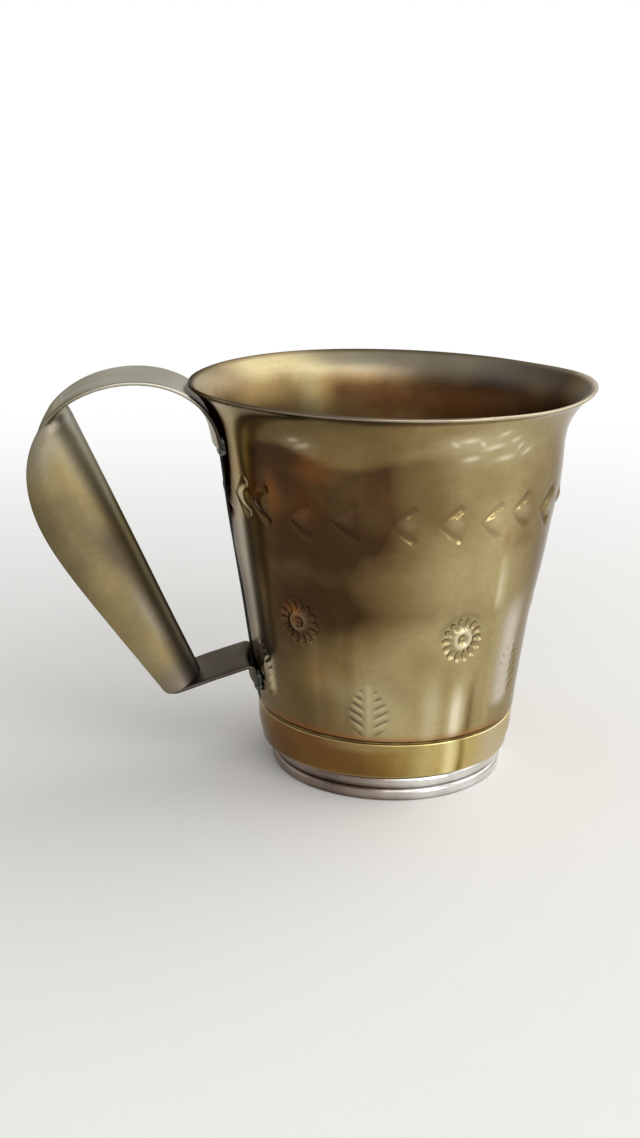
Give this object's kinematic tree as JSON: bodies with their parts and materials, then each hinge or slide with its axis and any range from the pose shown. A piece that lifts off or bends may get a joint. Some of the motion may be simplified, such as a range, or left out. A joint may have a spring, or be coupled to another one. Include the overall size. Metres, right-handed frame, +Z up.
{
  "type": "sheet metal mug",
  "caption": "Tapered brass drinking mug with a flared lip, a soldered base band and beaded foot, and a folded sheet handle with a trough-shaped grip.",
  "frame": {"origin": "on the table plane, under the middle of the mug and handle together", "axes": "+Z up along the mug's axis, -X towards the handle, +Y completes a right-handed frame"},
  "size_m": [0.1387, 0.1, 0.1009],
  "materials": {
    "wall_brass": "tarnished satin",
    "band_brass": "tarnished satin",
    "foot_metal": "worn satin",
    "handle_brass": "tarnished satin",
    "solder": "dull grey"
  },
  "bodies": {
    "root": {"body_wall": "wall_brass", "base_band": "band_brass", "bottom_disc": "wall_brass", "foot_ring": "foot_metal", "handle_strap": "handle_brass", "upper_handle_solder": "solder", "lower_handle_solder": "solder", "band_seam_solder": "solder", "foot_seam_solder": "solder"}
  },
  "joints": []
}
